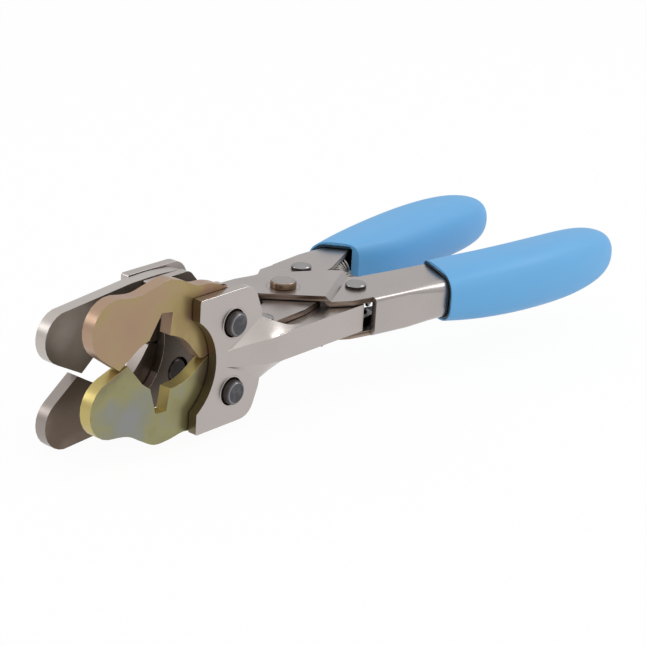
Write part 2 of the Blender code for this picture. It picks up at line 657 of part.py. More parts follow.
def build():
    clear_scene()
    parts = collection("fitting_removal_tool")
    cutters = collection("cutters", True)

    plated = material("Nickel plate", (0.42, 0.38, 0.36), 1.0, 0.28)
    far_plate = material("Dull nickel", (0.30, 0.26, 0.23), 1.0, 0.38)
    tan_zinc = material("Tan chromate", (0.48, 0.30, 0.18), 0.9, 0.36)
    green_zinc = material("Olive chromate", (0.40, 0.38, 0.17), 0.9, 0.36)
    oxide = material("Black oxide", (0.055, 0.06, 0.065), 0.6, 0.45)
    yellow_zinc = material("Yellow zinc", (0.50, 0.38, 0.22), 1.0, 0.3)
    vinyl = material("Blue vinyl", (0.15, 0.42, 0.72), 0.0, 0.35)
    wire = material("Spring wire", (0.5, 0.5, 0.5), 1.0, 0.25)

    near_handle(parts, cutters, plated)
    far_handle(parts, cutters, plated)
    grip("near_grip", NEAR_GRIP, NEAR_WEB, NEAR_EDGE, -1, parts, cutters, vinyl)
    grip("far_grip", FAR_GRIP, FAR_WEB, FAR_HOLLOW, 1, parts, cutters, vinyl)

    for label, side in (("near", -1), ("far", 1)):
        jaw_frame(f"{label}_jaw_frame", side, parts, cutters, plated)
        inner_cheek(f"{label}_inner_cheek", side, parts, plated)
        for level, pin_z in (("upper", PIN_Z), ("lower", -PIN_Z)):
            jaw_pin(f"{label}_{level}_pin", side, pin_z, parts, oxide)

    jaw_plate("near_upper_jaw", near_jaw_outline(), -1, True, NEAR_UPPER_TILT, parts, tan_zinc)
    jaw_plate("near_lower_jaw", near_jaw_outline(), -1, False, NEAR_LOWER_TILT, parts, green_zinc)
    jaw_plate("far_upper_jaw", far_jaw_outline(), 1, True, FAR_TILT, parts, far_plate)
    jaw_plate("far_lower_jaw", far_jaw_outline(), 1, False, FAR_TILT, parts, far_plate)

    pivot_head = (PIVOT_HEAD_RADIUS, PIVOT_HEAD_HEIGHT)
    rivet("main_pivot", 0, 0, PIVOT_RADIUS, RAISED_TOP, *pivot_head, parts, yellow_zinc, domed=False)
    flat_seat, raised_seat = HANDLE_HALF_HEIGHT, RAISED_TOP
    near_rear_head = (NEAR_REAR_HEAD_RADIUS, REAR_HEAD_HEIGHT)
    far_rear_head = (FAR_REAR_HEAD_RADIUS, REAR_HEAD_HEIGHT)
    front_head = (FRONT_HEAD_RADIUS, FRONT_HEAD_HEIGHT)
    rivet("near_rear_rivet", LINK_X, -LINK_Y, LINK_RADIUS, flat_seat, *near_rear_head, parts, plated)
    rivet("far_rear_rivet", LINK_X, LINK_Y, LINK_RADIUS, flat_seat, *far_rear_head, parts, plated)
    rivet("near_front_rivet", -LINK_X, -LINK_Y, LINK_RADIUS, flat_seat, *front_head, parts, plated)
    rivet("far_front_rivet", -LINK_X, LINK_Y, LINK_RADIUS, raised_seat, *front_head, parts, plated)
    coil("return_spring", parts, wire)
    for made in list(parts.objects) + list(cutters.objects):
        made.location.z -= PIVOT_TOP * MM


build()
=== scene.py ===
import math

import bpy
from mathutils import Matrix, Vector
from mathutils.bvhtree import BVHTree
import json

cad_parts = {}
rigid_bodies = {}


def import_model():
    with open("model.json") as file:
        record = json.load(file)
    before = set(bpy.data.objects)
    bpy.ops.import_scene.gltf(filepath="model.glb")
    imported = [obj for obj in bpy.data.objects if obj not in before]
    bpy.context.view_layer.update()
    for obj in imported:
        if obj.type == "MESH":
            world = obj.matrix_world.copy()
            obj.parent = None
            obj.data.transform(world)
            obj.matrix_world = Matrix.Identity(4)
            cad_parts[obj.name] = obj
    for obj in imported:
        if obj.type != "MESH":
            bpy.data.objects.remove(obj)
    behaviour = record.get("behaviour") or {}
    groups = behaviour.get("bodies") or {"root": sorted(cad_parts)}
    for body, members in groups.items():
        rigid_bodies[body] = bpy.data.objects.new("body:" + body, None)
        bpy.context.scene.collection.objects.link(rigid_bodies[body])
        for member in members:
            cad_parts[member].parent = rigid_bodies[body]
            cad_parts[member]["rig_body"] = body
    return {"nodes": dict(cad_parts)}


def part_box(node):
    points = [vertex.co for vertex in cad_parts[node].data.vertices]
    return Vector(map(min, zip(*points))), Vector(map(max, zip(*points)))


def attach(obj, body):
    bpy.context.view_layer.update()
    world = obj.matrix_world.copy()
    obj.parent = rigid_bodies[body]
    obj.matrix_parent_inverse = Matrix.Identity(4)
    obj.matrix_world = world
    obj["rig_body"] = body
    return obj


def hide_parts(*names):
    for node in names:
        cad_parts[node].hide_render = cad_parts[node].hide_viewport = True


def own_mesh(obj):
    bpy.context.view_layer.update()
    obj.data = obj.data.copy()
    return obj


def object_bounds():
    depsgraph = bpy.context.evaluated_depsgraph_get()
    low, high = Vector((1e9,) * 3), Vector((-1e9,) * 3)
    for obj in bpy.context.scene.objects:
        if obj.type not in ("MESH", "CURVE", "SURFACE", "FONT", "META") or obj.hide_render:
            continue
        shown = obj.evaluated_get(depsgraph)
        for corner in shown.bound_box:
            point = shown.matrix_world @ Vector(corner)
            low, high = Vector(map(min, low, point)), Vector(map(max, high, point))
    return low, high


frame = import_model()
cad_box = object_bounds()

# Studio: a white table under the tool, a white room and four soft lamps.
# The room is white to the camera and darker near the floor in the metal's reflections.
# The table glows nearly white where it is seen directly, and keeps a faint shadow.
TABLE_GAP = 0.0005
TABLE_SIZE = 6.0
TABLE_WHITE = 0.86
WHITE_SHARE = 0.95
ROOM_SOFT = 0.78
SHEEN_LOW = 0.50
SHEEN_HIGH = 1.06
SHEEN_FROM = -0.25
SHEEN_TO = 0.85
LARGER = {"operation": "MAXIMUM"}


def add(tree, kind, settings=None, **inputs):
    """Adds a node, sets its properties, then fills or links its inputs: by name, or as i0,
    i1 and so on by index."""
    node = tree.nodes.new(kind)
    for name, value in (settings or {}).items():
        setattr(node, name, value)
    for name, value in inputs.items():
        by_index = name[0] == "i" and name[1:].isdigit()
        socket = node.inputs[int(name[1:]) if by_index else name]
        if isinstance(value, bpy.types.NodeSocket):
            tree.links.new(value, socket)
        else:
            socket.default_value = value
    return node


bpy.ops.object.select_all(action="DESELECT")
table_height = cad_box[0].z - TABLE_GAP
bpy.ops.mesh.primitive_plane_add(size=TABLE_SIZE, location=(0, 0, table_height))
table = bpy.context.object
table.name = "table"
paint = bpy.data.materials.new("white table laminate")
paint.use_nodes = True
tree = paint.node_tree
tree.nodes.clear()
seen = add(tree, "ShaderNodeLightPath")
matt = add(tree, "ShaderNodeBsdfDiffuse", Color=(TABLE_WHITE, TABLE_WHITE, TABLE_WHITE, 1))
glow = add(tree, "ShaderNodeEmission", Color=(1, 1, 1, 1), Strength=1.0)
direct = add(tree, "ShaderNodeMath", LARGER, i0=seen.outputs["Is Camera Ray"],
             i1=seen.outputs["Is Glossy Ray"])
direct = add(tree, "ShaderNodeMath", LARGER, i0=direct.outputs[0], i1=seen.outputs["Is Transmission Ray"])
share = add(tree, "ShaderNodeMath", {"operation": "MULTIPLY"}, i0=direct.outputs[0], i1=WHITE_SHARE)
both = add(tree, "ShaderNodeMixShader", i0=share.outputs[0], i1=matt.outputs[0], i2=glow.outputs[0])
add(tree, "ShaderNodeOutputMaterial", Surface=both.outputs[0])
table.data.materials.append(paint)

room = bpy.data.worlds.new("room")
bpy.context.scene.world = room
room.use_nodes = True
tree = room.node_tree
tree.nodes.clear()
seen = add(tree, "ShaderNodeLightPath")
around = add(tree, "ShaderNodeTexCoord").outputs["Generated"]
facing = add(tree, "ShaderNodeSeparateXYZ", Vector=around)
sheen = add(tree, "ShaderNodeMapRange", i0=facing.outputs["Z"], i1=SHEEN_FROM, i2=SHEEN_TO,
            i3=SHEEN_LOW, i4=SHEEN_HIGH)
soft = add(tree, "ShaderNodeMix", i0=seen.outputs["Is Glossy Ray"], i2=ROOM_SOFT, i3=sheen.outputs[0])
direct = add(tree, "ShaderNodeMath", LARGER, i0=seen.outputs["Is Camera Ray"],
             i1=seen.outputs["Is Transmission Ray"])
level = add(tree, "ShaderNodeMix", i0=direct.outputs[0], i2=soft.outputs[0], i3=1.0)
sky = add(tree, "ShaderNodeBackground", Color=(1, 1, 1, 1), Strength=level.outputs[0])
add(tree, "ShaderNodeOutputWorld", Surface=sky.outputs[0])

# Each lamp: its place, its size across, its power, and whether metal shows it as a highlight.
LAMPS = {
    "key": ((-0.20, -0.45, 1.00), 0.90, 1.9, False),
    "fill": ((0.40, -0.80, 0.35), 0.70, 1.0, False),
    "strip": ((0.68, -0.38, 0.80), 0.42, 1.7, True),
    "rim": ((-0.68, 0.72, 0.44), 0.34, 1.1, True),
}
for name, (place, across, power, seen_in_metal) in LAMPS.items():
    lamp = bpy.data.lights.new(name, "AREA")
    lamp.energy = power
    lamp.size = across
    holder = bpy.data.objects.new(name, lamp)
    bpy.context.scene.collection.objects.link(holder)
    holder.location = place
    holder.rotation_euler = (-Vector(place)).to_track_quat("-Z", "Y").to_euler()
    holder.visible_glossy = seen_in_metal

# Camera: a long lens at the photograph's viewing angle, about 0.7 m from the tool.
# It is turned and dipped towards the tool, and rolled by a few degrees.
CAMERA_TURN = math.radians(50.840)
CAMERA_DIP = math.radians(20.518)
CAMERA_ROLL = math.radians(3.582)
CAMERA_PLACE = (-0.52004, -0.44230, 0.23964)
CAMERA_LENS = 116.64
SENSOR_WIDTH = 36
NEAREST_SEEN = 0.01

ahead = Vector((math.sin(CAMERA_TURN), math.cos(CAMERA_TURN), 0)) * math.cos(CAMERA_DIP)
ahead.z = -math.sin(CAMERA_DIP)
level_right = Vector((math.cos(CAMERA_TURN), -math.sin(CAMERA_TURN), 0))
level_up = level_right.cross(ahead)
right = level_right * math.cos(CAMERA_ROLL) + level_up * math.sin(CAMERA_ROLL)
up = level_up * math.cos(CAMERA_ROLL) - level_right * math.sin(CAMERA_ROLL)
lens = bpy.data.cameras.new("camera")
lens.lens = CAMERA_LENS
lens.sensor_width = SENSOR_WIDTH
lens.clip_start = NEAREST_SEEN
camera = bpy.data.objects.new("camera", lens)
bpy.context.scene.collection.objects.link(camera)
camera.matrix_world = Matrix.Translation(CAMERA_PLACE) @ Matrix((right, up, -ahead)).transposed().to_4x4()
bpy.context.scene.camera = camera
bpy.context.scene.view_settings.view_transform = "Standard"

# Finish shared by the pressed and the cut pieces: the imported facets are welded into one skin,
# and each sharp edge gets the small break that tumbling leaves, so that it catches light.
WELD = 0.00001
FLAT_ANGLE = math.radians(1.2)
SHARP_ANGLE = math.radians(28)
FLAT_FACE_WEIGHT = 90


def select_only(obj):
    """Deselects everything, then makes this object the one that operators act on."""
    bpy.ops.object.select_all(action="DESELECT")
    obj.select_set(True)
    bpy.context.view_layer.objects.active = obj


def welded_copy(node, name):
    """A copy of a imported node's own mesh, with its facets merged into one skin."""
    packed = frame["nodes"][node]
    piece = packed.copy()
    piece.data = packed.data.copy()
    for key in list(piece.keys()):
        if key.startswith("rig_"):
            del piece[key]
    piece.parent = None
    piece.matrix_world = Matrix.Identity(4)
    piece.name = name
    bpy.context.scene.collection.objects.link(piece)
    select_only(piece)
    bpy.ops.object.mode_set(mode="EDIT")
    bpy.ops.mesh.select_all(action="SELECT")
    bpy.ops.mesh.remove_doubles(threshold=WELD)
    bpy.ops.object.mode_set(mode="OBJECT")
    piece.data.materials.clear()
    return piece


def stand_in_for(piece, node):
    """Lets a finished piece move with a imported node's body and be seen in its place."""
    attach(piece, frame["nodes"][node]["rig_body"])
    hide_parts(node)


def broken_edges(node, name, width, look, smooth_degrees=32, segments=2):
    """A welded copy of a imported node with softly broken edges, in place of that node."""
    piece = welded_copy(node, name)
    bpy.ops.object.mode_set(mode="EDIT")
    bpy.ops.mesh.select_all(action="SELECT")
    bpy.ops.mesh.dissolve_limited(angle_limit=FLAT_ANGLE)
    bpy.ops.object.mode_set(mode="OBJECT")
    soften = piece.modifiers.new("broken edges", "BEVEL")
    soften.width = width
    soften.segments = segments
    soften.limit_method = "ANGLE"
    soften.angle_limit = SHARP_ANGLE
    soften.use_clamp_overlap = True
    bpy.ops.object.modifier_apply(modifier=soften.name)
    bpy.ops.object.shade_smooth_by_angle(angle=math.radians(smooth_degrees))
    calm = piece.modifiers.new("flat faces stay flat", "WEIGHTED_NORMAL")
    calm.keep_sharp = True
    calm.weight = FLAT_FACE_WEIGHT
    bpy.ops.object.modifier_apply(modifier=calm.name)
    piece.data.materials.append(look)
    stand_in_for(piece, node)
    return piece


# Jaw frames: two C-shaped walls of 3.4 mm steel, each pressed outward into a channel arm.
# Tumbled, then bright nickel plated: warm grey metal with faint drawn lines, orange peel
# and broken edges, with painted highlights on the top arris and the arm's bend, and a painted
# reflection of the yellow jaw on the near mouth's cut edge.


def linear(hex_colour):
    """sRGB hex to a linear RGBA tuple."""
    parts = [int(hex_colour[i : i + 2], 16) / 255 for i in (1, 3, 5)]
    curved = [c / 12.92 if c <= 0.04045 else ((c + 0.055) / 1.055) ** 2.4 for c in parts]
    return (*curved, 1.0)


PLATE_GREY = linear("#BEB6B2")
PLATE_SHADE = linear("#AFA7A3")
PLATE_ROUGH = (0.24, 0.34)
RING_MARK = linear("#726A66")
# Real orange peel and draw lines are two to five times finer; these sizes let them show.
MOTTLE_SIZE = 0.018
PEEL_SIZE = 0.0011
PEEL_DEPTH = 0.000005
DRAW_LINE_SIZE = 0.0005
DRAW_LINE_STRETCH = 0.035
DRAW_LINE_SHARE = 0.25
RING_FADE = (0.00008, 0.00030)
RING_DEPTH = 0.55
# Nearly all of a noise pattern's values lie between these two.
NOISE_LOW = 0.3
NOISE_HIGH = 0.7
COLOURS = {"data_type": "RGBA"}


def nickel_plate(name, light=PLATE_GREY, dark=PLATE_SHADE, rough=PLATE_ROUGH, ring=None):
    """Nickel on pressed steel: broad mottle, orange peel and faint lines drawn along the tool,
    with the round mark of the riveting die if a ring radius about the Z axis is given."""
    made = bpy.data.materials.new(name)
    made.use_nodes = True
    tree = made.node_tree
    shader = tree.nodes["Principled BSDF"]
    where = add(tree, "ShaderNodeTexCoord").outputs["Object"]
    mottle = add(tree, "ShaderNodeTexNoise", Vector=where, Scale=1 / MOTTLE_SIZE, Detail=4.0, Roughness=0.55)
    peel = add(tree, "ShaderNodeTexNoise", Vector=where, Scale=1 / PEEL_SIZE, Detail=2.0)
    drawn = add(tree, "ShaderNodeMapping", Vector=where, Scale=(DRAW_LINE_STRETCH, 1, 1))
    lines = add(tree, "ShaderNodeTexNoise", Vector=drawn.outputs[0], Scale=1 / DRAW_LINE_SIZE, Detail=3.0)
    tone = add(tree, "ShaderNodeMix", COLOURS, i0=mottle.outputs[0], i6=dark, i7=light)
    sheen = add(tree, "ShaderNodeMapRange", i0=mottle.outputs[0], i1=NOISE_LOW, i2=NOISE_HIGH,
                i3=rough[0], i4=rough[1])
    relief = add(tree, "ShaderNodeMath", {"operation": "MULTIPLY_ADD"}, i0=lines.outputs[0],
                 i1=DRAW_LINE_SHARE, i2=peel.outputs[0])
    bump = add(tree, "ShaderNodeBump", Strength=0.20, Distance=PEEL_DEPTH, Height=relief.outputs[0])
    if ring:
        level_part = add(tree, "ShaderNodeVectorMath", {"operation": "MULTIPLY"}, i0=where, i1=(1, 1, 0))
        reach = add(tree, "ShaderNodeVectorMath", {"operation": "LENGTH"}, i0=level_part.outputs[0])
        off = add(tree, "ShaderNodeMath", {"operation": "SUBTRACT"}, i0=reach.outputs["Value"], i1=ring)
        gap = add(tree, "ShaderNodeMath", {"operation": "ABSOLUTE"}, i0=off.outputs[0])
        mark = add(tree, "ShaderNodeMapRange", i0=gap.outputs[0], i1=RING_FADE[0], i2=RING_FADE[1],
                   i3=RING_DEPTH, i4=0.0)
        tone = add(tree, "ShaderNodeMix", COLOURS, i0=mark.outputs[0], i6=tone.outputs[2], i7=RING_MARK)
    tree.links.new(tone.outputs[2], shader.inputs["Base Color"])
    tree.links.new(sheen.outputs[0], shader.inputs["Roughness"])
    tree.links.new(bump.outputs[0], shader.inputs["Normal"])
    shader.inputs["Metallic"].default_value = 1.0
    return made


FRAME_EDGE = 0.0007
FRAME_SMOOTH = 40
FRAME_MOUTH_X = -0.0520
FRAME_TOP_BAND = 0.0030
# A face is told by how much of its normal points sideways or up: a cut edge, a top face, or
# an arris between two faces.
CUT_EDGE_LEAN = 0.35
TOP_FACE_LEAN = 0.9
ARRIS_LEAN = (0.25, 0.93)
# The frame itself: pale, warm, satin metal that mirrors the room softly.
frame_plate = nickel_plate("nickel plated pressed steel")
# The near cut mouth: a painted reflection of the yellow jaw, yellowish brown on the plating.
mouth_painted_reflection = nickel_plate("nickel with painted reflection on cut edge", linear("#857A66"), linear("#675B4B"), (0.28, 0.38))
# The top arris: a painted highlight, a bright line between two grey faces.
frame_painted_highlight = nickel_plate("nickel with painted highlight on top arris", linear("#F8F4F0"), linear("#E4DED9"),
                           (0.20, 0.28))
# The arm's bend: a painted highlight, a little paler than the wall.
bend_painted_highlight = nickel_plate("nickel with painted highlight over the arm bend", linear("#CCC5C0"), linear("#BDB5B0"),
                          (0.24, 0.32))
# Each hole is coined round its pin, which leaves a thin raised rim on the outer face.
PIN_STAND_OUT = 0.0024
HOLE_RIM_RADIUS = 0.00515
HOLE_RIM_THICK = 0.00034
HOLE_RIM_PROUD = 0.00012
for side, outward in (("near", -1), ("far", 1)):
    wall = broken_edges(f"{side}_jaw_frame", f"{side}_jaw_frame_plated", FRAME_EDGE, frame_plate,
                        FRAME_SMOOTH)
    wall.data.materials.append(mouth_painted_reflection)
    wall.data.materials.append(frame_painted_highlight)
    wall.data.materials.append(bend_painted_highlight)
    wall_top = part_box(f"{side}_jaw_frame")[1].z
    # Painted reflection on the near mouth's cut faces; painted highlights on the top arris and on the arm's
    # bend.
    for face in wall.data.polygons:
        cut = abs(face.normal.y) < CUT_EDGE_LEAN and face.normal.z < TOP_FACE_LEAN
        if side == "near" and cut and face.center.x < FRAME_MOUTH_X:
            face.material_index = 1
        elif ARRIS_LEAN[0] < face.normal.z < ARRIS_LEAN[1] and face.normal.y * outward > ARRIS_LEAN[0]:
            face.material_index = 2 if face.center.z > wall_top - FRAME_TOP_BAND else 3
    for level in ("upper", "lower"):
        low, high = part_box(f"{side}_{level}_pin")
        outer_face = low.y + PIN_STAND_OUT if side == "near" else high.y - PIN_STAND_OUT
        middle = Vector(((low.x + high.x) / 2, outer_face, (low.z + high.z) / 2))
        bpy.ops.object.select_all(action="DESELECT")
        bpy.ops.mesh.primitive_torus_add(
            major_segments=72, minor_segments=12, major_radius=HOLE_RIM_RADIUS,
            minor_radius=HOLE_RIM_THICK, location=middle, rotation=(math.radians(90), 0, 0))
        rim = bpy.context.object
        rim.name = f"{side}_{level}_hole_rim"
        bpy.ops.object.transform_apply(location=True, rotation=True, scale=True)
        bpy.ops.object.mode_set(mode="EDIT")
        bpy.ops.mesh.select_all(action="SELECT")
        bpy.ops.transform.resize(value=(1, HOLE_RIM_PROUD / HOLE_RIM_THICK, 1), center_override=middle)
        bpy.ops.mesh.normals_make_consistent(inside=False)
        bpy.ops.object.mode_set(mode="OBJECT")
        bpy.ops.object.shade_smooth()
        rim.data.materials.append(frame_plate)
        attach(rim, f"{side}_jaw")

# Inner cheeks: flat 3 mm plates that tie the pins on the inner side of the jaws.
# Same plating, with painted shade: duller and browner than the frames, as the inside of the jaws lies in
# shade.
CHEEK_SHADED_GREY = linear("#6C6259")
CHEEK_SHADE = linear("#483E37")
CHEEK_EDGE = 0.0008
CHEEK_MOUTH_X = -0.0500
TOP_EDGE_LEAN = 0.5
# The cheek itself: dull, brownish metal with painted shade, which shows only broad, blurred reflections.
painted_shade_plate = nickel_plate("nickel plate with painted shade", CHEEK_SHADED_GREY, CHEEK_SHADE, (0.30, 0.46))
# Its top and bottom edges stand in the open, and are as bright as the frames.
# The mouth's arris: a painted highlight, a thin light line in the dark mouth.
cheek_painted_highlight = nickel_plate("nickel with painted highlight on an arris", linear("#FFF4E6"), linear("#F2E2CE"),
                           (0.50, 0.62))
for side in ("near", "far"):
    cheek = broken_edges(f"{side}_inner_cheek", f"{side}_inner_cheek_plated", CHEEK_EDGE, painted_shade_plate)
    cheek.data.materials.append(cheek_painted_highlight)
    cheek.data.materials.append(frame_plate)
    # Painted highlight on the mouth's arris; the open top and bottom edges take the frames' plating.
    for face in cheek.data.polygons:
        if ARRIS_LEAN[0] < abs(face.normal.y) < ARRIS_LEAN[1] and face.center.x < CHEEK_MOUTH_X:
            face.material_index = 1
        elif abs(face.normal.y) < ARRIS_LEAN[1] and abs(face.normal.z) > TOP_EDGE_LEAN:
            face.material_index = 2

# Jaw pins: turned from hardened rod and blackened, 9 mm thick, with a chamfer at each end.
# The oxide is charcoal with fine turning rings on the flat end, and worn paler on its corner.
# The far pins, which the keyhole shows from inside, are browner and darker: painted shade.
OXIDE_DARK = linear("#4C4C4F")
OXIDE_WORN = linear("#85858A")
OXIDE_FLANK = linear("#4C4744")
# Painted shade for the far pins, seen in the dark keyhole.
OXIDE_PAINTED_SHADE = linear("#2B2725")
OXIDE_PAINTED_SHADE_WORN = linear("#4A433E")
# Real turning rings are about 0.15 mm apart; they are drawn at 0.55 mm so that they show.
RING_PITCH = 0.00055
PIN_END_CORNER = 0.00352
PIN_FLANK_FROM = 0.0040
WEAR_PATCH_SIZE = 0.0022
WEAR_FROM = (0.50, 0.72)
WEAR_DEPTH = 0.35
CORNER_FADE = (0.00010, 0.00030)
CORNER_DEPTH = 0.9
FLANK_FADE = 0.00015
RING_DEPTH_TURNED = 0.00001
OXIDE_GLOSS_SPREAD = (-0.08, 0.10)


def turned_metal(name, face, worn, flank, pitch, corner, flank_from, middle, rough, metallic, across):
    """Lathe-turned metal: fine rings on the flat end, a worn ring at the corner radius and
    another tone on the flank, all about the axis through middle."""
    made = bpy.data.materials.new(name)
    made.use_nodes = True
    tree = made.node_tree
    shader = tree.nodes["Principled BSDF"]
    where = add(tree, "ShaderNodeTexCoord").outputs["Object"]
    centred = add(tree, "ShaderNodeVectorMath", {"operation": "SUBTRACT"}, i0=where, i1=middle)
    flat = add(tree, "ShaderNodeVectorMath", {"operation": "MULTIPLY"}, i0=centred.outputs[0], i1=across)
    radius = add(tree, "ShaderNodeVectorMath", {"operation": "LENGTH"}, i0=flat.outputs[0]).outputs["Value"]
    turns = add(tree, "ShaderNodeMath", {"operation": "MULTIPLY"}, i0=radius, i1=2 * math.pi / pitch)
    rings = add(tree, "ShaderNodeMath", {"operation": "SINE"}, i0=turns.outputs[0])
    patch = add(tree, "ShaderNodeTexNoise", Vector=where, Scale=1 / WEAR_PATCH_SIZE, Detail=4.0)
    off = add(tree, "ShaderNodeMath", {"operation": "SUBTRACT"}, i0=radius, i1=corner)
    gap = add(tree, "ShaderNodeMath", {"operation": "ABSOLUTE"}, i0=off.outputs[0])
    edge = add(tree, "ShaderNodeMapRange", i0=gap.outputs[0], i1=CORNER_FADE[0], i2=CORNER_FADE[1],
               i3=CORNER_DEPTH, i4=0.0)
    wear = add(tree, "ShaderNodeMapRange", i0=patch.outputs[0], i1=WEAR_FROM[0], i2=WEAR_FROM[1],
               i3=0.0, i4=WEAR_DEPTH)
    worn_share = add(tree, "ShaderNodeMath", LARGER, i0=edge.outputs[0], i1=wear.outputs[0])
    end_tone = add(tree, "ShaderNodeMix", COLOURS, i0=worn_share.outputs[0], i6=face, i7=worn)
    side_share = add(tree, "ShaderNodeMapRange", i0=radius, i1=flank_from - FLANK_FADE, i2=flank_from)
    tone = add(tree, "ShaderNodeMix", COLOURS, i0=side_share.outputs[0], i6=end_tone.outputs[2], i7=flank)
    gloss = add(tree, "ShaderNodeMapRange", i0=patch.outputs[0], i3=rough + OXIDE_GLOSS_SPREAD[0],
                i4=rough + OXIDE_GLOSS_SPREAD[1])
    bump = add(tree, "ShaderNodeBump", Strength=0.25, Distance=RING_DEPTH_TURNED, Height=rings.outputs[0])
    tree.links.new(tone.outputs[2], shader.inputs["Base Color"])
    tree.links.new(gloss.outputs[0], shader.inputs["Roughness"])
    tree.links.new(bump.outputs[0], shader.inputs["Normal"])
    shader.inputs["Metallic"].default_value = metallic
    return made


def middle_of(node):
    """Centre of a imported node's box."""
    low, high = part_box(node)
    return (low + high) / 2


TURNED_SIDES = 96
TURNED_SMOOTH = math.radians(32)


def turned(name, profile, place, look, lay_along_y=False):
    """A lathe-turned piece: a round blank stretched up its own axis through the profile's
    (radius, height) steps, then stood at its place or laid along the tool's Y axis."""
    bpy.ops.object.select_all(action="DESELECT")
    radius, height = profile[0]
    bpy.ops.mesh.primitive_circle_add(vertices=TURNED_SIDES, radius=radius, fill_type="NGON",
                                      location=(0, 0, height))
    piece = bpy.context.object
    piece.name = name
    bpy.ops.object.transform_apply(location=True, rotation=False, scale=False)
    bpy.ops.object.mode_set(mode="EDIT")
    bpy.ops.mesh.select_all(action="SELECT")
    for wider, higher in profile[1:]:
        bpy.ops.mesh.extrude_region_move(TRANSFORM_OT_translate={"value": (0, 0, higher - height)})
        share = wider / radius
        bpy.ops.transform.resize(value=(share, share, 1), center_override=(0, 0, higher))
        radius, height = wider, higher
    bpy.ops.mesh.select_all(action="SELECT")
    bpy.ops.mesh.normals_make_consistent(inside=False)
    bpy.ops.object.mode_set(mode="OBJECT")
    if lay_along_y:
        piece.rotation_euler = (math.radians(90), 0, 0)
    piece.location = place
    bpy.ops.object.transform_apply(location=True, rotation=True, scale=True)
    bpy.ops.object.shade_smooth_by_angle(angle=TURNED_SMOOTH)
    piece.data.materials.append(look)
    return piece


PIN_ROUGH = 0.36
PIN_METALLIC = 0.9
PIN_CHAMFER = 0.0006
# The drawn pins are 7 % slimmer than their solids.
PIN_SLIM = 0.93
PIN_BREAK = 0.00015
for side in ("near", "far"):
    for level in ("upper", "lower"):
        node = f"{side}_{level}_pin"
        face_tone, worn_tone = (OXIDE_DARK, OXIDE_WORN) if side == "near" else (OXIDE_PAINTED_SHADE, OXIDE_PAINTED_SHADE_WORN)
        oxide = turned_metal(f"black oxide on {level} pin, {side} side", face_tone, worn_tone, OXIDE_FLANK,
                             RING_PITCH, PIN_END_CORNER, PIN_FLANK_FROM, middle_of(node),
                             PIN_ROUGH, PIN_METALLIC, (1, 0, 1))
        low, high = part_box(node)
        radius = (high.x - low.x) / 2 * PIN_SLIM
        end = (high.y - low.y) / 2
        half = [(radius, end - PIN_CHAMFER - PIN_BREAK), (radius - PIN_BREAK / 2, end - PIN_CHAMFER),
                (radius - PIN_CHAMFER, end - PIN_BREAK), (radius - PIN_CHAMFER - PIN_BREAK, end)]
        profile = [(r, -z) for r, z in reversed(half)] + half
        pin = turned(f"{node}_oxide", profile, middle_of(node), oxide, lay_along_y=True)
        stand_in_for(pin, node)

# Jaw plates: 4.6 mm steel blanks, laser cut to a half keyhole, ground and zinc plated.
# Yellow chromate dries in clouds of tan, olive and blue grey, strongest near the cut edges.
CLOUD_SIZE = 0.014
CLOUD_DRIFT = 0.34
# The ground surface's grain is really finer than 0.1 mm, and is coarser here to show.
GRIND_LINE_SIZE = 0.00045
GRIND_LINE_DEPTH = 0.000015
CUT_SIDE_FADE = (0.92, 0.55)
ZINC_METALLIC = 0.85


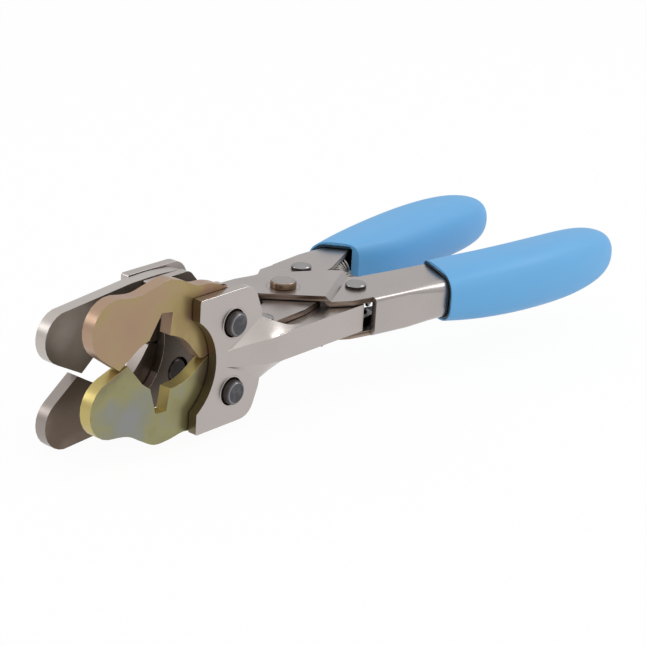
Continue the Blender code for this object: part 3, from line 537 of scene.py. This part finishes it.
def chromate(name, colours, heart, reach, rough, edge_hue):
    """Yellow chromate clouds that pass through the colours from the plate's heart outward,
    with the edge hue on the cut sides between the two faces."""
    made = bpy.data.materials.new(name)
    made.use_nodes = True
    tree = made.node_tree
    shader = tree.nodes["Principled BSDF"]
    where = add(tree, "ShaderNodeTexCoord").outputs["Object"]
    cloud = add(tree, "ShaderNodeTexNoise", Vector=where, Scale=1 / CLOUD_SIZE, Detail=3.0, Roughness=0.5)
    offset = add(tree, "ShaderNodeVectorMath", {"operation": "SUBTRACT"}, i0=where, i1=heart)
    scaled = add(tree, "ShaderNodeVectorMath", {"operation": "DIVIDE"}, i0=offset.outputs[0], i1=reach)
    away = add(tree, "ShaderNodeVectorMath", {"operation": "LENGTH"}, i0=scaled.outputs[0])
    drift = add(tree, "ShaderNodeMapRange", i0=cloud.outputs[0], i1=NOISE_LOW, i2=NOISE_HIGH,
                i3=-CLOUD_DRIFT, i4=CLOUD_DRIFT)
    place = add(tree, "ShaderNodeMath", {"operation": "ADD"}, i0=away.outputs["Value"], i1=drift.outputs[0])
    ramp = add(tree, "ShaderNodeValToRGB", Fac=place.outputs[0])
    stops = ramp.color_ramp.elements
    while len(stops) < len(colours):
        stops.new(0.5)
    for index, (at, hue) in enumerate(colours):
        stops[index].position = at
        stops[index].color = linear(hue)
    sides = add(tree, "ShaderNodeNewGeometry")
    parts = add(tree, "ShaderNodeSeparateXYZ", Vector=sides.outputs["Normal"])
    facing = add(tree, "ShaderNodeMath", {"operation": "ABSOLUTE"}, i0=parts.outputs["Y"])
    cut = add(tree, "ShaderNodeMapRange", i0=facing.outputs[0], i1=CUT_SIDE_FADE[0],
              i2=CUT_SIDE_FADE[1], i3=0.0, i4=1.0)
    tone = add(tree, "ShaderNodeMix", COLOURS, i0=cut.outputs[0], i6=ramp.outputs[0], i7=linear(edge_hue))
    fine = add(tree, "ShaderNodeTexNoise", Vector=where, Scale=1 / GRIND_LINE_SIZE, Detail=2.0)
    gloss = add(tree, "ShaderNodeMapRange", i0=cloud.outputs[0], i1=NOISE_LOW, i2=NOISE_HIGH,
                i3=rough[0], i4=rough[1])
    bump = add(tree, "ShaderNodeBump", Strength=0.5, Distance=GRIND_LINE_DEPTH, Height=fine.outputs[0])
    tree.links.new(tone.outputs[2], shader.inputs["Base Color"])
    tree.links.new(gloss.outputs[0], shader.inputs["Roughness"])
    tree.links.new(bump.outputs[0], shader.inputs["Normal"])
    shader.inputs["Metallic"].default_value = ZINC_METALLIC
    return made


# Each cloud: its hues from the plate's heart, 0, out to its reach, 1.
TAN = [(0.0, "#A4876F"), (0.35, "#A68E70"), (0.62, "#A59265"), (0.85, "#9F8A60"), (1.0, "#A08069")]
OLIVE = [(0.0, "#8A8B88"), (0.30, "#8B8B7C"), (0.58, "#949069"), (0.82, "#8C8862"), (1.0, "#7E735C")]
GREY = [(0.0, "#8A827C"), (0.45, "#81776F"), (0.80, "#8C827A"), (1.0, "#958B83")]
BROWN = [(0.0, "#5B4D43"), (0.45, "#63554A"), (0.80, "#74675C"), (1.0, "#857A70")]
ZINC_ROUGH = (0.30, 0.42)
JAW_EDGE = 0.00022
# Each plate: its cloud colours, the heart they spread from, their reach, and its cut edge's hue.
JAW_FINISH = {
    "near_upper_jaw": (TAN, (-0.088, -0.0144, 0.006), (0.040, 0.040, 0.028), "#AC907A"),
    "near_lower_jaw": (OLIVE, (-0.088, -0.0144, -0.024), (0.034, 0.040, 0.022), "#BBAA6C"),
    "far_upper_jaw": (GREY, (-0.080, 0.0100, -0.002), (0.040, 0.040, 0.026), "#BDB6B1"),
    "far_lower_jaw": (BROWN, (-0.080, 0.0100, -0.026), (0.040, 0.040, 0.024), "#9A918C"),
}
for node, (colours, heart, reach, edge_hue) in JAW_FINISH.items():
    finish = f"yellow chromate on {node.replace('_', ' ')}"
    zinc = chromate(finish, colours, heart, reach, ZINC_ROUGH, edge_hue)
    broken_edges(node, f"{node}_chromate", JAW_EDGE, zinc, 35)

# Handles: two crossed channels pressed from 1.9 mm sheet and nickel plated.
# The sheared edges of the flanges keep a brown, coppery tint where the plate is thin.
SHEAR_BROWN = linear("#4A3C34")
SHEAR_GOLD = linear("#A39184")
TORN_SIZE = 0.0011
TORN_STRETCH = 0.06
TORN_RANGE = (0.36, 0.68)
TORN_DEPTH = 0.00003
SHEAR_ROUGH = 0.36


def sheared_edge(name):
    """Cut edge of the sheet: brown and coppery streaks that run along it, where the shear
    burnished the metal and then tore it."""
    made = bpy.data.materials.new(name)
    made.use_nodes = True
    tree = made.node_tree
    shader = tree.nodes["Principled BSDF"]
    where = add(tree, "ShaderNodeTexCoord").outputs["Object"]
    streak = add(tree, "ShaderNodeMapping", Vector=where, Scale=(TORN_STRETCH, TORN_STRETCH, 1))
    torn = add(tree, "ShaderNodeTexNoise", Vector=streak.outputs[0], Scale=1 / TORN_SIZE, Detail=2.0)
    share = add(tree, "ShaderNodeMapRange", i0=torn.outputs[0], i1=TORN_RANGE[0], i2=TORN_RANGE[1])
    tone = add(tree, "ShaderNodeMix", COLOURS, i0=share.outputs[0], i6=SHEAR_BROWN, i7=SHEAR_GOLD)
    bump = add(tree, "ShaderNodeBump", Strength=0.4, Distance=TORN_DEPTH, Height=torn.outputs[0])
    tree.links.new(tone.outputs[2], shader.inputs["Base Color"])
    tree.links.new(bump.outputs[0], shader.inputs["Normal"])
    shader.inputs["Metallic"].default_value = 1.0
    shader.inputs["Roughness"].default_value = SHEAR_ROUGH
    return made


HANDLE_EDGE = 0.0004
HANDLE_SMOOTH = 40
UPRIGHT_LEAN = 0.35
LINING_LEAN = 0.7
WEB_LEAN = 0.5
FLAT_CUT_TALL = 0.0022
STEPPED_CUT_TALL = 0.0062
SHEAR_HEIGHT = (0.0046, 0.0099)
SHEAR_REACH_X = 0.0262
STEP_REACH_X = 0.0205
MID_PLANE_Z = middle_of("near_handle").z
DIE_RING = 0.0059
# The flanges' cut edges: dark and coppery beside the pale plating.
shear = sheared_edge("sheared sheet edge")
# The channel: the frames' plating, a shade greyer, with a faint ring from the riveting die.
handle_plate = nickel_plate("nickel plated channel", linear("#B9B2AF"), linear("#A8A19E"), ring=DIE_RING)
for side, outward in (("near", -1), ("far", 1)):
    channel = broken_edges(f"{side}_handle", f"{side}_handle_plated", HANDLE_EDGE, handle_plate,
                           HANDLE_SMOOTH)
    channel.data.materials.append(shear)
    channel.data.materials.append(painted_shade_plate)
    for face in channel.data.polygons:
        height = abs(face.center.z - MID_PLANE_Z)
        upright = abs(face.normal.z) < UPRIGHT_LEAN and SHEAR_HEIGHT[0] < height < SHEAR_HEIGHT[1]
        corners = [channel.data.vertices[i].co.z for i in face.vertices]
        tall = max(corners) - min(corners)
        inner = face.center.x < SHEAR_REACH_X or face.normal.y * outward < 0
        stepped = face.center.x < STEP_REACH_X and tall < STEPPED_CUT_TALL
        if upright and inner and (tall < FLAT_CUT_TALL or stepped):
            face.material_index = 1
        # Painted shade on the near channel's lining and inward faces behind the slot.
        lining = abs(face.normal.z) > LINING_LEAN and face.normal.z * (face.center.z - MID_PLANE_Z) < 0
        painted_shade_faces = lining or face.normal.y * outward < -WEB_LEAN
        if side == "near" and face.center.x > SHEAR_REACH_X and painted_shade_faces and face.material_index == 0:
            face.material_index = 2

# Main pivot: a shouldered steel stud with two thick round heads, yellow zinc plated.
# The flat top is rubbed grey, and the side of the head is brown and coppery.
PIVOT_HEAD_RADIUS = 0.0046
PIVOT_HEAD_HEIGHT = 0.0032
# The drawn heads end this far below the solid's.
PIVOT_WEAR = 0.0007
PIVOT_ROUND = 0.0010
PIVOT_BREAK = 0.0002
PIVOT_SHANK_RADIUS = 0.0036
PIVOT_RING_PITCH = 0.0007
PIVOT_WORN_RADIUS = 0.0036
PIVOT_FLANK_FROM = 0.0043
PIVOT_ROUGH = 0.26
PIVOT_ROUND_STEPS = 6
low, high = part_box("main_pivot")
top = (high.z - low.z) / 2 - PIVOT_WEAR
seat = top + PIVOT_WEAR - PIVOT_HEAD_HEIGHT
half = [(PIVOT_SHANK_RADIUS, seat), (PIVOT_HEAD_RADIUS - PIVOT_BREAK, seat),
        (PIVOT_HEAD_RADIUS, seat + PIVOT_BREAK), (PIVOT_HEAD_RADIUS, top - PIVOT_ROUND)]
for step in range(1, PIVOT_ROUND_STEPS + 1):
    bend = math.radians(90 * step / PIVOT_ROUND_STEPS)
    half.append((PIVOT_HEAD_RADIUS - PIVOT_ROUND + PIVOT_ROUND * math.cos(bend),
                 top - PIVOT_ROUND + PIVOT_ROUND * math.sin(bend)))
profile = [(r, -z) for r, z in reversed(half)] + half
pivot_finish = turned_metal("yellow zinc on pivot", linear("#A39D9A"), linear("#958D86"), linear("#7A6552"),
                            PIVOT_RING_PITCH, PIVOT_WORN_RADIUS, PIVOT_FLANK_FROM, (0, 0, 0),
                            PIVOT_ROUGH, 1.0, (1, 1, 0))
pivot = turned("main_pivot_zinc", profile, middle_of("main_pivot"), pivot_finish)
stand_in_for(pivot, "main_pivot")

# Rivets: domed bright steel, clenched over the flanges and slightly flattened by the tool.
# They are the shiniest metal on the tool, and painted shade darkens the step under each rim.
RIM_SHARE = 0.34
CROWN_SHARE = 0.36
SEAT_SHARE = 0.93
EASE_SHARE = 0.985
EASE_HEIGHT = 0.12
DOME_STEPS = 8
SHADED_RIM_LEAN = 0.40
# The step under the rim: painted shade, a dark band round each bright head.
rim_painted_shade = nickel_plate("painted shade under rivet rim", linear("#4A4543"), linear("#2B2827"), (0.30, 0.42))
# Each rivet: its head's radius, its head's height, and its shank's radius.
RIVETS = {
    "near_rear_rivet": (0.0038, 0.0018, 0.0026),
    "far_rear_rivet": (0.0037, 0.0018, 0.0026),
    "near_front_rivet": (0.0035, 0.0009, 0.0026),
    "far_front_rivet": (0.0035, 0.0009, 0.0026),
}
for node, (head_radius, head_height, shank) in RIVETS.items():
    finish = f"bright rivet head {node.replace('_', ' ')}"
    bright = nickel_plate(finish, linear("#A3A1A1"), linear("#838180"), (0.13, 0.20))
    low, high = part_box(node)
    top = (high.z - low.z) / 2
    seat = top - head_height
    rim = seat + head_height * RIM_SHARE
    crown = head_radius * CROWN_SHARE
    half = [(shank, seat), (head_radius * SEAT_SHARE, seat),
            (head_radius * EASE_SHARE, seat + head_height * EASE_HEIGHT), (head_radius, rim)]
    for step in range(1, DOME_STEPS + 1):
        bend = math.radians(90 * step / DOME_STEPS)
        half.append((crown + (head_radius - crown) * math.cos(bend), rim + (top - rim) * math.sin(bend)))
    profile = [(r, -z) for r, z in reversed(half)] + half
    head = turned(f"{node}_bright", profile, middle_of(node), bright)
    head.data.materials.append(rim_painted_shade)
    # The rim's upright faces take the painted shade.
    for face in head.data.polygons:
        if abs(face.normal.z) < SHADED_RIM_LEAN:
            face.material_index = 1
    stand_in_for(head, node)

# Grips: each handle's tail is dipped in blue PVC, which sets as a seamless soft sleeve.
# It is satin and even, with a fine orange peel, and its mouth is a lip with painted shade in dark teal.
GRIP_BLUE = linear("#64A8DB")
GRIP_DEEP = linear("#5EA2D4")
LIP_SHADED_TEAL = linear("#1C3B4C")
LIP_BREAK = 0.0006
LIP_WIDTH = 0.0013
LIP_DEPTH = 0.004
GRIP_SHARP = math.radians(40)
GRIP_QUAD_SHAPE = math.radians(60)
GRIP_ROUNDING = 3
RUN_SIZE = 0.030
RUN_SHARE = 4.0
DIP_PEEL_SIZE = 0.0012
DIP_PEEL_DEPTH = 0.00002
PVC_IOR = 1.53
PVC_SPECULAR = 0.4
# The way each grip's mouth faces.
MOUTHS = {"near": Vector((-0.891, 0.454, 0)), "far": Vector((-0.839, -0.545, 0))}


def dipped_vinyl(name, light, deep, rough):
    """Soft PVC from a dip: satin skin, slow waves where it ran, and a fine orange peel."""
    made = bpy.data.materials.new(name)
    made.use_nodes = True
    tree = made.node_tree
    shader = tree.nodes["Principled BSDF"]
    where = add(tree, "ShaderNodeTexCoord").outputs["Object"]
    run = add(tree, "ShaderNodeTexNoise", Vector=where, Scale=1 / RUN_SIZE, Detail=2.0)
    peel = add(tree, "ShaderNodeTexNoise", Vector=where, Scale=1 / DIP_PEEL_SIZE, Detail=2.0)
    tone = add(tree, "ShaderNodeMix", COLOURS, i0=run.outputs[0], i6=deep, i7=light)
    rub = add(tree, "ShaderNodeMapRange", i0=run.outputs[0], i1=NOISE_LOW, i2=NOISE_HIGH,
              i3=rough[0], i4=rough[1])
    relief = add(tree, "ShaderNodeMath", {"operation": "MULTIPLY_ADD"}, i0=run.outputs[0],
                 i1=RUN_SHARE, i2=peel.outputs[0])
    bump = add(tree, "ShaderNodeBump", Strength=0.25, Distance=DIP_PEEL_DEPTH, Height=relief.outputs[0])
    tree.links.new(tone.outputs[2], shader.inputs["Base Color"])
    tree.links.new(rub.outputs[0], shader.inputs["Roughness"])
    tree.links.new(bump.outputs[0], shader.inputs["Normal"])
    shader.inputs["IOR"].default_value = PVC_IOR
    shader.inputs["Specular IOR Level"].default_value = PVC_SPECULAR
    return made


# The sleeve: an even satin blue, slightly deeper where the dip ran thick.
vinyl = dipped_vinyl("dipped blue PVC", GRIP_BLUE, GRIP_DEEP, (0.40, 0.52))
# The mouth: painted shade, a dark teal band on the vinyl beside the metal.
lip = dipped_vinyl("PVC lip in painted shade", LIP_SHADED_TEAL, linear("#12303F"), (0.45, 0.60))
for side, ahead_of_mouth in MOUTHS.items():
    sleeve = welded_copy(f"{side}_grip", f"{side}_grip_vinyl")
    bpy.ops.object.mode_set(mode="EDIT")
    bpy.ops.mesh.select_all(action="SELECT")
    bpy.ops.mesh.tris_convert_to_quads(face_threshold=GRIP_SHARP, shape_threshold=GRIP_QUAD_SHAPE)
    bpy.ops.object.mode_set(mode="OBJECT")
    soften = sleeve.modifiers.new("soft lip", "BEVEL")
    soften.width = LIP_BREAK
    soften.segments = 2
    soften.limit_method = "ANGLE"
    soften.angle_limit = GRIP_SHARP
    bpy.ops.object.modifier_apply(modifier=soften.name)
    rounder = sleeve.modifiers.new("dipped skin", "SUBSURF")
    rounder.levels = GRIP_ROUNDING
    rounder.render_levels = GRIP_ROUNDING
    bpy.ops.object.modifier_apply(modifier=rounder.name)
    bpy.ops.object.shade_smooth()
    sleeve.data.materials.append(vinyl)
    sleeve.data.materials.append(lip)
    plated = bpy.data.objects[f"{side}_handle_plated"]
    channel = BVHTree.FromObject(plated, bpy.context.evaluated_depsgraph_get())
    front = max(corner.co.dot(ahead_of_mouth) for corner in sleeve.data.vertices)
    # Vinyl at the mouth close to the channel takes the painted shade.
    for face in sleeve.data.polygons:
        if face.center.dot(ahead_of_mouth) > front - LIP_DEPTH:
            if channel.find_nearest(face.center, LIP_WIDTH)[0] is not None:
                face.material_index = 1
    stand_in_for(sleeve, f"{side}_grip")

# Return spring: one length of bright drawn wire, coiled open, bowed between the channels.
# Hard and smooth from the die, so each turn is a thin highlight over a dark gap.
WIRE_RADIUS = 0.00055
COIL_RADIUS = 0.0043
COIL_PITCH = 0.0027
# The end turns lie closed, with the wire nearly touching itself.
CLOSED_PITCH = 2.3 * WIRE_RADIUS
TURN_STEPS = 24
ROUTE_STEPS = 12
WIRE_SMOOTH = math.radians(50)
WIRE_ROUGH = (0.20, 0.34)
FILM_SIZE = 0.003
# The middle line of the coil in millimetres, from the near channel round to the far one.
SPRING_ROUTE = [(51.5, -21.2), (44.6, -18.0), (39.2, -10.5), (37.2, -1.5),
                (38.3, 6.2), (41.9, 12.2), (46.4, 15.3), (51.0, 16.8)]


def wire_finish(name):
    """Drawn spring wire: bright and smooth, under an uneven thin film of oil."""
    made = bpy.data.materials.new(name)
    made.use_nodes = True
    tree = made.node_tree
    shader = tree.nodes["Principled BSDF"]
    where = add(tree, "ShaderNodeTexCoord").outputs["Object"]
    film = add(tree, "ShaderNodeTexNoise", Vector=where, Scale=1 / FILM_SIZE, Detail=3.0)
    tone = add(tree, "ShaderNodeMix", COLOURS, i0=film.outputs[0], i6=linear("#6B6763"), i7=linear("#A19D99"))
    gloss = add(tree, "ShaderNodeMapRange", i0=film.outputs[0], i3=WIRE_ROUGH[0], i4=WIRE_ROUGH[1])
    tree.links.new(tone.outputs[2], shader.inputs["Base Color"])
    tree.links.new(gloss.outputs[0], shader.inputs["Roughness"])
    shader.inputs["Metallic"].default_value = 1.0
    return made


def smooth_route(points, steps):
    """A smooth open line through the points, by Catmull-Rom interpolation, in metres."""
    line = []
    for index in range(len(points) - 1):
        nearby = [min(max(index + shift, 0), len(points) - 1) for shift in (-1, 0, 1, 2)]
        before, first, second, after = [Vector((*points[i], 0)) / 1000 for i in nearby]
        for step in range(steps):
            t = step / steps
            curved = (2 * before - 5 * first + 4 * second - after) * t**2
            curved += (3 * first - before - 3 * second + after) * t**3
            line.append(0.5 * (2 * first + (second - before) * t + curved))
    return line + [Vector((*points[-1], 0)) / 1000]


axis = smooth_route(SPRING_ROUTE, ROUTE_STEPS)
reach = [0.0]
for first, second in zip(axis, axis[1:]):
    reach.append(reach[-1] + (second - first).length)
free_turns = round((reach[-1] - 2 * CLOSED_PITCH) / COIL_PITCH)
pitch = (reach[-1] - 2 * CLOSED_PITCH) / free_turns
turns = free_turns + 2
curve = bpy.data.curves.new("return_spring_wire", "CURVE")
curve.dimensions = "3D"
curve.bevel_depth = WIRE_RADIUS
curve.bevel_resolution = 3
curve.use_fill_caps = True
spline = curve.splines.new("POLY")
steps = TURN_STEPS * turns
spline.points.add(steps)
mid_plane = Vector((0, 0, MID_PLANE_Z))
for index, point in enumerate(spline.points):
    turn = turns * index / steps
    along = CLOSED_PITCH * min(turn, 1) + CLOSED_PITCH * max(turn - turns + 1, 0)
    along += pitch * min(max(turn - 1, 0), free_turns)
    leg = max(i for i in range(len(axis) - 1) if reach[i] <= along or i == 0)
    centre = axis[leg].lerp(axis[leg + 1], (along - reach[leg]) / (reach[leg + 1] - reach[leg]))
    forward = (axis[leg + 1] - axis[leg]).normalized()
    outward = Vector((forward.y, -forward.x, 0))
    spoke = outward * math.cos(2 * math.pi * turn) + Vector((0, 0, 1)) * math.sin(2 * math.pi * turn)
    point.co = (*(centre + spoke * COIL_RADIUS + mid_plane), 1)
spring = bpy.data.objects.new("return_spring_wire", curve)
bpy.context.scene.collection.objects.link(spring)
select_only(spring)
bpy.ops.object.convert(target="MESH")
spring = bpy.context.object
bpy.ops.object.shade_smooth_by_angle(angle=WIRE_SMOOTH)
spring.data.materials.clear()
spring.data.materials.append(wire_finish("bright drawn spring wire"))
stand_in_for(spring, "return_spring")
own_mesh(spring)
